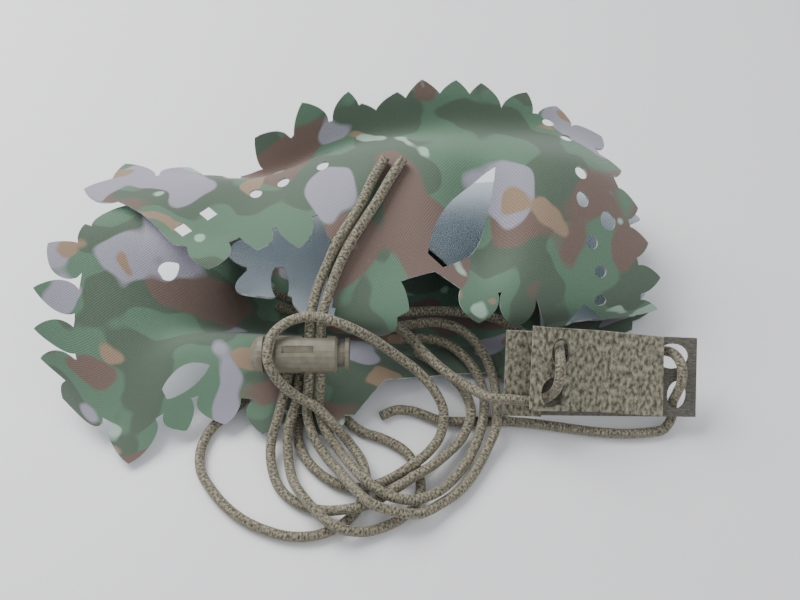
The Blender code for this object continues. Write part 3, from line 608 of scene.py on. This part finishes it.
def fold_normals(fold: Callable, flat: Array) -> Array:
    """Outward directions of a folded sheet's upper side.

    Args:
        fold: function that folds the sheet
        flat: points of the flat cut

    Returns:
        one unit direction for each point
    """
    reach = 0.4
    across = fold(flat + [reach, 0]) - fold(flat - [reach, 0])
    along = fold(flat + [0, reach]) - fold(flat - [0, reach])
    normal = np.cross(across, along)
    return normal / np.linalg.norm(normal, axis=1, keepdims=True)


# ---------------------------------------------------------------- meshes

SHARP_FROM = 50              # degrees between faces from which an edge is sharp
TUBE_SIDES = 18
TUBE_GIRTH = 10              # flat coordinate once round a tube, in millimetres
SIDE_START = (0.3, 0.2, 0.9)  # direction that a tube's first ring is turned from


def mesh_piece(name: str, points: Array, faces: list, coords: Array,
               slots: Array) -> bpy.types.Object:
    """Finished piece with its place in its mesh and smooth sides between sharp edges.

    Args:
        name: name of the piece
        points: its points in millimetres
        faces: its faces as corner numbers
        coords: flat coordinate of each point, in millimetres
        slots: material slot of each face

    Returns:
        the piece
    """
    mesh = bpy.data.meshes.new(name)
    place = (points - [BASE_CENTRE[0], BASE_CENTRE[1], 0]) * MM
    mesh.from_pydata(place.tolist(), [], faces)
    corners = np.empty(len(mesh.loops), dtype=np.int32)
    mesh.loops.foreach_get("vertex_index", corners)
    layer = mesh.uv_layers.new(name="flat")
    layer.data.foreach_set("uv", (coords[corners] * MM).ravel())
    mesh.polygons.foreach_set("material_index", np.asarray(slots, dtype=np.int32))
    mesh.shade_smooth()
    mesh.set_sharp_from_angle(angle=math.radians(SHARP_FROM))
    piece = bpy.data.objects.new(name, mesh)
    bpy.context.scene.collection.objects.link(piece)
    return piece


def closed_sheet(name: str, outlines: list, fold: Callable, thickness: float,
                 grid: tuple) -> bpy.types.Object:
    """Closed sheet: the folded cut, half the thickness to each side, with a rim round each edge.

    Args:
        name: name of the piece
        outlines: outlines of its flat cut
        fold: function that folds the flat cut
        thickness: thickness of the sheet
        grid: spacing and margin of the inner points

    Returns:
        the piece, with its upper side, underside and rim in slots 0, 1 and 2
    """
    flat, faces = flat_cut(outlines, *grid)
    middle = fold(flat)
    half = fold_normals(fold, flat) * thickness / 2
    points = np.vstack([middle + half, middle - half])
    points[:, 2] = np.maximum(points[:, 2], 0)
    count = len(flat)
    rim = [(b, a, a + count, b + count) for a, b in border_edges(faces)]
    sides = faces.tolist() + (faces[:, ::-1] + count).tolist() + rim
    slots = np.repeat([0, 1, 2], [len(faces), len(faces), len(rim)])
    return mesh_piece(name, points, sides, np.vstack([flat, flat]), slots)


def tube(name: str, path: Array, radius: float) -> bpy.types.Object:
    """Tube: a circle of radius carried square to the path, with flat closed ends.

    Args:
        name: name of the piece
        path: middles of the rings
        radius: radius of the tube

    Returns:
        the piece, with its side in slot 0 and its ends in slot 1
    """
    along = np.gradient(path, axis=0)
    along /= np.linalg.norm(along, axis=1, keepdims=True)
    side = np.empty_like(along)
    side[0] = np.cross(along[0], SIDE_START)
    for i in range(1, len(path)):
        side[i] = side[i - 1] - (side[i - 1] @ along[i]) * along[i]
        side[i] /= np.linalg.norm(side[i])
    side[0] /= np.linalg.norm(side[0])
    other = np.cross(along, side)
    sides = TUBE_SIDES
    corner = np.arange(sides)
    turn = 2 * np.pi * corner / sides
    ring = np.cos(turn)[None, :, None] * side[:, None]
    ring = ring + np.sin(turn)[None, :, None] * other[:, None]
    points = (path[:, None] + radius * ring).reshape(-1, 3)
    row = np.arange(len(path) - 1)[:, None] * sides
    first = row + corner
    following = row + (corner + 1) % sides
    quads = np.stack([first, following, following + sides, first + sides], axis=-1)
    quads = quads.reshape(-1, 4)
    ends = [list(range(sides))[::-1], [len(points) - sides + k for k in range(sides)]]
    run = np.repeat(run_length(path), sides)
    coords = np.column_stack([run, np.tile(corner / sides * TUBE_GIRTH, len(path))])
    slots = np.r_[np.zeros(len(quads)), [1, 1]]
    return mesh_piece(name, points, quads.tolist() + ends, coords, slots)


# ---------------------------------------------------------------- finishes


class Sheet(Enum):
    """The two sides of the printed cloth."""

    PRINT = "print"
    REVERSE = "reverse"


@dataclass(frozen=True)
class Blotch:
    """One colour of the camouflage: where its noise passes the threshold it covers what lies below."""

    colour: tuple
    scale: float
    threshold: float
    shift: tuple


# From the lowest colour to the highest.
BLOTCHES = (
    Blotch((0.085, 0.13, 0.085), 38, 0.50, (0.3, 1.7, 0)),
    Blotch((0.175, 0.115, 0.090), 30, 0.56, (2.1, 0.4, 0)),
    Blotch((0.37, 0.35, 0.42), 34, 0.60, (4.2, 3.1, 0)),
    Blotch((0.34, 0.235, 0.15), 46, 0.64, (7.7, 5.9, 0)),
    Blotch((0.40, 0.58, 0.45), 52, 0.66, (9.3, 8.8, 0)),
)
BLOTCH_EDGE = 60             # how sharply one colour meets the next
GROUND = (0.11, 0.21, 0.13)
REVERSE_COLOUR = (0.36, 0.44, 0.50)
REVERSE_LIGHT = (0.50, 0.56, 0.58)
REVERSE_SCALE = 45
WEAVE_PITCH = 0.9            # millimetres
WEAVE_DEPTH = 0.15
WEAVE_SHADE = 0.35
WEAVE_DARK = (0.03, 0.035, 0.03)
THREAD_START = 0.36          # noise value from which a thread is lighter than its darkest tone, the painted shade of its grooves
THREAD_CONTRAST = 3.4
THREAD_DEPTH = 0.25
THREAD_SHEEN = 0.2
CLOTH_ROUGHNESS = 0.75
CLOTH_SHEEN = 0.25
BUMP_STRENGTH = 0.7


@dataclass(frozen=True)
class Thread:
    """A finish of fine threads: its two colours (the darkest, painted as shade in the grooves, and the
    lighter thread colour), how they are stretched and how rough they are.
    """

    name: str
    # darkest thread tone, used as painted shade in the grooves between the ribs
    groove_shade: tuple
    light: tuple
    scale: tuple
    roughness: float


# Each finish's first colour is the darkest thread tone, painted as shade in the grooves between its
# ribs; the second is the lighter thread colour.
CORD_COVER = Thread("cord_cover", (0.035, 0.03, 0.018), (0.30, 0.27, 0.18), (1700, 900, 1), 0.7)
CORD_CORE = Thread("cord_core", (0.02, 0.018, 0.012), (0.30, 0.28, 0.22), (800, 500, 1), 0.8)
CLOTH_EDGE = Thread("cloth_edge", (0.25, 0.27, 0.24), (0.55, 0.58, 0.55), (400, 400, 1), 0.85)
LOOP_PILE = Thread("loop_pile", (0.06, 0.055, 0.035), (0.30, 0.28, 0.20), (900, 500, 1), 0.95)
TAB_TAPE = Thread("tab_tape", (0.05, 0.045, 0.035), (0.13, 0.12, 0.09), (700, 2200, 1), 0.6)

PLASTIC_DARK = (0.115, 0.10, 0.07)
PLASTIC_LIGHT = (0.26, 0.235, 0.17)
PLASTIC_ROUGHNESS = 0.42
PLASTIC_SCALE = 420
PLASTIC_DEPTH = 0.05


class Dresser:
    """Builds one procedural material node by node."""

    def __init__(self, name: str, roughness: float, sheen: float = 0.0) -> None:
        """Starts a material with a Principled shader.

        Args:
            name: name of the material
            roughness: roughness of the surface
            sheen: weight of the surface's sheen
        """
        self.material = bpy.data.materials.new(name)
        self.material.use_nodes = True
        self.tree = self.material.node_tree
        self.shader = self.tree.nodes["Principled BSDF"]
        self.shader.inputs["Roughness"].default_value = roughness
        self.shader.inputs["Sheen Weight"].default_value = sheen

    def node(self, kind: str, **settings: object) -> bpy.types.Node:
        """New node of a kind with its settings.

        Args:
            kind: the node's type name
            **settings: values of the node's own properties

        Returns:
            the node
        """
        made = self.tree.nodes.new(kind)
        for key, value in settings.items():
            setattr(made, key, value)
        return made

    def link(self, start: bpy.types.NodeSocket, end: bpy.types.NodeSocket) -> None:
        """Joins two sockets."""
        self.tree.links.new(start, end)

    def coordinates(self, shift: tuple = (0, 0, 0), scale: tuple = (1, 1, 1)) -> bpy.types.NodeSocket:
        """The piece's flat coordinates, moved and scaled.

        Args:
            shift: distance moved
            scale: factor along each coordinate

        Returns:
            the socket with the coordinates
        """
        source = self.node("ShaderNodeUVMap", uv_map="flat")
        mapping = self.node("ShaderNodeMapping")
        mapping.inputs["Location"].default_value = shift
        mapping.inputs["Scale"].default_value = scale
        self.link(source.outputs["UV"], mapping.inputs["Vector"])
        return mapping.outputs["Vector"]

    def noise(self, at: bpy.types.NodeSocket, scale: float, detail: float = 2.0) -> bpy.types.NodeSocket:
        """Noise value at coordinates.

        Args:
            at: socket with the coordinates
            scale: scale of the noise
            detail: its number of finer layers

        Returns:
            the socket with the value
        """
        made = self.node("ShaderNodeTexNoise")
        made.inputs["Scale"].default_value = scale
        made.inputs["Detail"].default_value = detail
        self.link(at, made.inputs["Vector"])
        return made.outputs["Fac"]

    def math(self, operation: str, first: object, second: object) -> bpy.types.NodeSocket:
        """One arithmetic step on sockets or numbers.

        Args:
            operation: name of the step
            first: its first value
            second: its second value

        Returns:
            the socket with the result
        """
        made = self.node("ShaderNodeMath", operation=operation)
        for socket, value in zip(made.inputs, (first, second)):
            if isinstance(value, (int, float)):
                socket.default_value = value
            else:
                self.link(value, socket)
        return made.outputs[0]

    def mix(self, share: bpy.types.NodeSocket, low: object, high: object) -> bpy.types.NodeSocket:
        """Colour that goes from low to high with share.

        Args:
            share: socket with a value from 0 to 1
            low: colour or socket at 0
            high: colour or socket at 1

        Returns:
            the socket with the colour
        """
        made = self.node("ShaderNodeMix", data_type="RGBA")
        self.link(share, made.inputs[0])
        for socket, value in ((made.inputs[6], low), (made.inputs[7], high)):
            if isinstance(value, tuple):
                socket.default_value = (*value, 1)
            else:
                self.link(value, socket)
        return made.outputs[2]

    def weave(self, pitch: float) -> bpy.types.NodeSocket:
        """Plain weave: the product of two sine waves at the thread pitch, from 0 to 1.

        Args:
            pitch: distance between threads, in millimetres

        Returns:
            the socket with the height
        """
        at = self.node("ShaderNodeSeparateXYZ")
        self.link(self.coordinates(), at.inputs[0])
        turns = 2 * math.pi / (pitch * MM)
        across = self.math("SINE", self.math("MULTIPLY", at.outputs[0], turns), 0)
        along = self.math("SINE", self.math("MULTIPLY", at.outputs[1], turns), 0)
        return self.math("MULTIPLY_ADD", self.math("MULTIPLY", across, along), 0.5)

    def finish(self, colour: bpy.types.NodeSocket, height: bpy.types.NodeSocket,
               depth: float) -> bpy.types.Material:
        """Joins the colour and the bump to the shader.

        Args:
            colour: socket with the colour
            height: socket with the height of the surface
            depth: depth of the bump in millimetres

        Returns:
            the finished material
        """
        bump = self.node("ShaderNodeBump")
        bump.inputs["Strength"].default_value = BUMP_STRENGTH
        bump.inputs["Distance"].default_value = depth * MM
        self.link(height, bump.inputs["Height"])
        self.link(bump.outputs["Normal"], self.shader.inputs["Normal"])
        self.link(colour, self.shader.inputs["Base Color"])
        return self.material


def cloth_material(side: Sheet) -> bpy.types.Material:
    """Camouflage print of overlapping blotches, or its pale reverse, on a fine weave.

    Args:
        side: side of the cloth

    Returns:
        the material
    """
    dress = Dresser("cloth_" + side.value, CLOTH_ROUGHNESS, CLOTH_SHEEN)
    weave = dress.weave(WEAVE_PITCH)
    colour: object = REVERSE_COLOUR
    if side is Sheet.PRINT:
        colour = GROUND
        for blotch in BLOTCHES:
            field = dress.noise(dress.coordinates(blotch.shift), blotch.scale, 1.5)
            above = dress.math("SUBTRACT", field, blotch.threshold)
            share = dress.math("MULTIPLY", above, BLOTCH_EDGE)
            clamp = dress.node("ShaderNodeClamp")
            dress.link(share, clamp.inputs[0])
            colour = dress.mix(clamp.outputs[0], colour, blotch.colour)
    else:
        share = dress.noise(dress.coordinates(), REVERSE_SCALE, 3)
        colour = dress.mix(share, REVERSE_COLOUR, REVERSE_LIGHT)
    thread = dress.math("MULTIPLY", weave, WEAVE_SHADE)
    shaded = dress.mix(thread, colour, WEAVE_DARK)
    return dress.finish(shaded, weave, WEAVE_DEPTH)


def thread_material(thread: Thread) -> bpy.types.Material:
    """Fine ribs of thread: noise stretched along them, between a dark colour, painted as shade in the
    grooves where the bump is lowest, and a light colour on the raised ribs.

    Args:
        thread: the finish

    Returns:
        the material
    """
    dress = Dresser(thread.name, thread.roughness, THREAD_SHEEN)
    ribs = dress.noise(dress.coordinates(scale=thread.scale), 1.0, 3)
    clear = dress.math("MULTIPLY", dress.math("SUBTRACT", ribs, THREAD_START), THREAD_CONTRAST)
    clamp = dress.node("ShaderNodeClamp")
    dress.link(clear, clamp.inputs[0])
    # the same noise is the bump's height, so the dark colour, painted shade, falls in the low grooves
    colour = dress.mix(clamp.outputs[0], thread.groove_shade, thread.light)
    return dress.finish(colour, ribs, THREAD_DEPTH)


def moulded_material() -> bpy.types.Material:
    """Khaki moulded plastic with a fine mottle, read from object coordinates."""
    dress = Dresser("lock_moulded", PLASTIC_ROUGHNESS)
    source = dress.node("ShaderNodeTexCoord")
    mottle = dress.noise(source.outputs["Object"], PLASTIC_SCALE, 3)
    colour = dress.mix(mottle, PLASTIC_DARK, PLASTIC_LIGHT)
    return dress.finish(colour, mottle, PLASTIC_DEPTH)


# ---------------------------------------------------------------- sub-assemblies


@dataclass
class ElasticCords:
    """The elastic cords, each a tube along its own route."""

    diameter: float = CORD_DIAMETER
    ring_step: float = 0.8

    def build(self) -> list:
        """Makes and dresses every cord and carries it on the root body."""
        cover = thread_material(CORD_COVER)
        core = thread_material(CORD_CORE)
        routes = dict(CORD_ROUTES)
        through = [tuple(point) for point in tab_points(TAB_CORD_THROUGH)]
        routes["tab_cord"] = tuple(TAB_CORD_IN) + tuple(through) + tuple(TAB_CORD_OUT)
        made = []
        for name, route in routes.items():
            step = TAB_CORD_STEP if name == "tab_cord" else CORD_STEP
            path = smooth_route(smooth_route(route, step), self.ring_step)
            piece = tube(name + "_cover", path, self.diameter / 2)
            piece.data.materials.append(cover)
            piece.data.materials.append(core)
            attach(piece, "cord", name)
            made.append(piece)
        return made


def attach(piece: bpy.types.Object, slot: str, *nodes: str) -> None:
    """Carries a piece on the root body in place of its CAD nodes.

    Args:
        piece: the finished piece
        slot: not used
        *nodes: CAD nodes that it stands for
    """
    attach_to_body(piece, "root")
    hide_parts(*nodes)


@dataclass
class ScrimCloth:
    """The folded sheet with its leaves, holes and openings."""

    thickness: float = 0.8
    step: float = 1.7
    margin: float = 0.9
    longest_edge: float = 3.0
    hole_sides: int = 20

    def build(self) -> bpy.types.Object:
        solid = [divided(BODY_CORNERS, self.longest_edge)] + [leaf_outline(leaf) for leaf in LEAVES]
        empty = [leaf_outline(leaf) for leaf in OPENINGS]
        empty += [oval_outline(hole.x, hole.along, hole.diameter, hole.diameter,
                               4 if hole.sides == 4 else self.hole_sides) for hole in HOLES]
        outlines = joined_outlines(solid, empty)
        piece = closed_sheet("camouflage_sheet", outlines, folded_cloth, self.thickness,
                             (self.step, self.margin))
        piece.data.materials.append(cloth_material(Sheet.PRINT))
        piece.data.materials.append(cloth_material(Sheet.REVERSE))
        piece.data.materials.append(thread_material(CLOTH_EDGE))
        attach(piece, "cloth", "scrim_cloth")
        return piece


@dataclass
class HookLoopTab:
    """Backing strip and two pieces of loop pile."""

    step: float = 1.2
    margin: float = 0.6
    longest_edge: float = 2.0
    slot_sides: int = 20

    def piece(self, name: str, node: str, outlines: list, fold: Callable, thickness: float,
              slot: str, dress: bpy.types.Material, size: tuple) -> bpy.types.Object:
        """One strip of the tab, dressed and carried on the root body.

        Args:
            name: name of the piece
            node: CAD node that it stands for
            outlines: outlines of its flat cut
            fold: function that lays it in the tab
            thickness: its thickness
            slot: not used
            dress: its material
            size: not used

        Returns:
            the piece
        """
        made = closed_sheet(name, outlines, fold, thickness, (self.step, self.margin))
        for _ in range(3):
            made.data.materials.append(dress)
        attach(made, slot, node)
        return made

    def build(self) -> list:
        """Makes the strip and the two pile pieces."""
        pile = thread_material(LOOP_PILE)
        tape = thread_material(TAB_TAPE)
        base, rear, front = ([divided(corners, self.longest_edge)]
                             for corners in (BASE_CORNERS, REAR_CORNERS, FRONT_CORNERS))
        base += [oval_outline(*slot, self.slot_sides) for slot in BASE_SLOTS]
        front += [oval_outline(*slot, self.slot_sides) for slot in FRONT_SLOTS]
        rear_out = BASE_THICKNESS + LAYER_GAP + PILE_THICKNESS / 2
        return [
            self.piece("tab_tape_strip", "tab_base", base, tab_layer(BASE_THICKNESS / 2),
                       BASE_THICKNESS, "tab_backing", tape, (0.062, 0.0275)),
            self.piece("tab_pile_rear", "tab_rear_pile", rear, tab_layer(rear_out),
                       PILE_THICKNESS, "tab_pile", pile, (0.012, 0.0273)),
            self.piece("tab_pile_front", "tab_front_pile", front, front_pile_laid,
                       PILE_THICKNESS, "tab_pile", pile, (0.0435, 0.0285)),
        ]


@dataclass(frozen=True)
class Lamp:
    """A soft square light: its place, its power in watts and the length of its side."""

    name: str
    place: tuple
    power: float
    size: float


@dataclass
class Studio:
    """Camera, soft light and pale floor."""

    elevation: float = 52.0
    distance: float = 0.370
    target: tuple = (0.0127, 0.0, 0.020)
    lens: float = 50.0
    sensor: float = 36.0
    lamps: tuple = (Lamp("key", (-0.35, 0.30, 0.55), 7.0, 0.5),
                    Lamp("fill", (0.5, -0.5, 0.5), 2.0, 0.8))
    sky: tuple = (0.9, 0.93, 1)
    sky_strength: float = 0.65
    floor_reach: float = 2.0
    floor_drop: float = 0.0003
    floor_grey: float = 0.8

    def add_camera(self) -> None:
        """Places the camera square to the target at its elevation and distance."""
        rise = math.radians(self.elevation)
        look = Vector(self.target) - Vector((BASE_CENTRE[0], BASE_CENTRE[1], 0)) * MM
        camera = bpy.data.objects.new("camera", bpy.data.cameras.new("camera"))
        camera.location = look + self.distance * Vector((0, -math.cos(rise), math.sin(rise)))
        camera.rotation_euler = (math.pi / 2 - rise, 0, 0)
        camera.data.lens = self.lens
        camera.data.sensor_width = self.sensor
        bpy.context.scene.collection.objects.link(camera)
        bpy.context.scene.camera = camera

    def add_lights(self) -> None:
        """Places the lamps, each turned to the origin, and the sky."""
        for lamp in self.lamps:
            area = bpy.data.lights.new(lamp.name, "AREA")
            area.energy = lamp.power
            area.size = lamp.size
            light = bpy.data.objects.new(lamp.name, area)
            light.location = lamp.place
            light.rotation_euler = (-Vector(lamp.place)).to_track_quat("-Z", "Y").to_euler()
            bpy.context.scene.collection.objects.link(light)
        world = bpy.data.worlds.new("studio")
        world.use_nodes = True
        background = world.node_tree.nodes["Background"]
        background.inputs["Color"].default_value = (*self.sky, 1)
        background.inputs["Strength"].default_value = self.sky_strength
        bpy.context.scene.world = world

    def add_floor(self) -> None:
        """Lays the floor a little below the object."""
        reach = self.floor_reach
        corners = [(-reach, -reach, 0), (reach, -reach, 0), (reach, reach, 0), (-reach, reach, 0)]
        mesh = bpy.data.meshes.new("floor")
        mesh.from_pydata(corners, [], [(0, 1, 2, 3)])
        floor = bpy.data.objects.new("floor", mesh)
        floor.location.z = -self.floor_drop
        paint = bpy.data.materials.new("floor")
        paint.use_nodes = True
        grey = (self.floor_grey, self.floor_grey, self.floor_grey, 1)
        paint.node_tree.nodes["Principled BSDF"].inputs["Base Color"].default_value = grey
        mesh.materials.append(paint)
        bpy.context.scene.collection.objects.link(floor)

    def build(self) -> None:
        """Places the camera, the lights and the floor."""
        self.add_camera()
        self.add_lights()
        self.add_floor()


def dress_lock() -> None:
    """Gives the lock's own solids their moulded plastic."""
    plastic = moulded_material()
    for name in ("lock_barrel", "lock_button"):
        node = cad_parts[name]
        node.data.materials.clear()
        node.data.materials.append(plastic)


def main() -> None:
    """Builds the studio and each sub-assembly in order."""
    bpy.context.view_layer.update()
    makers = (("studio", Studio().build), ("cords", ElasticCords().build),
              ("cloth", ScrimCloth().build), ("tab", HookLoopTab().build), ("lock", dress_lock))
    for label, maker in makers:
        maker()
        logging.info("built %s", label)
    bpy.context.view_layer.update()


if __name__ == "__main__":
    logging.basicConfig(level=logging.INFO)
    main()
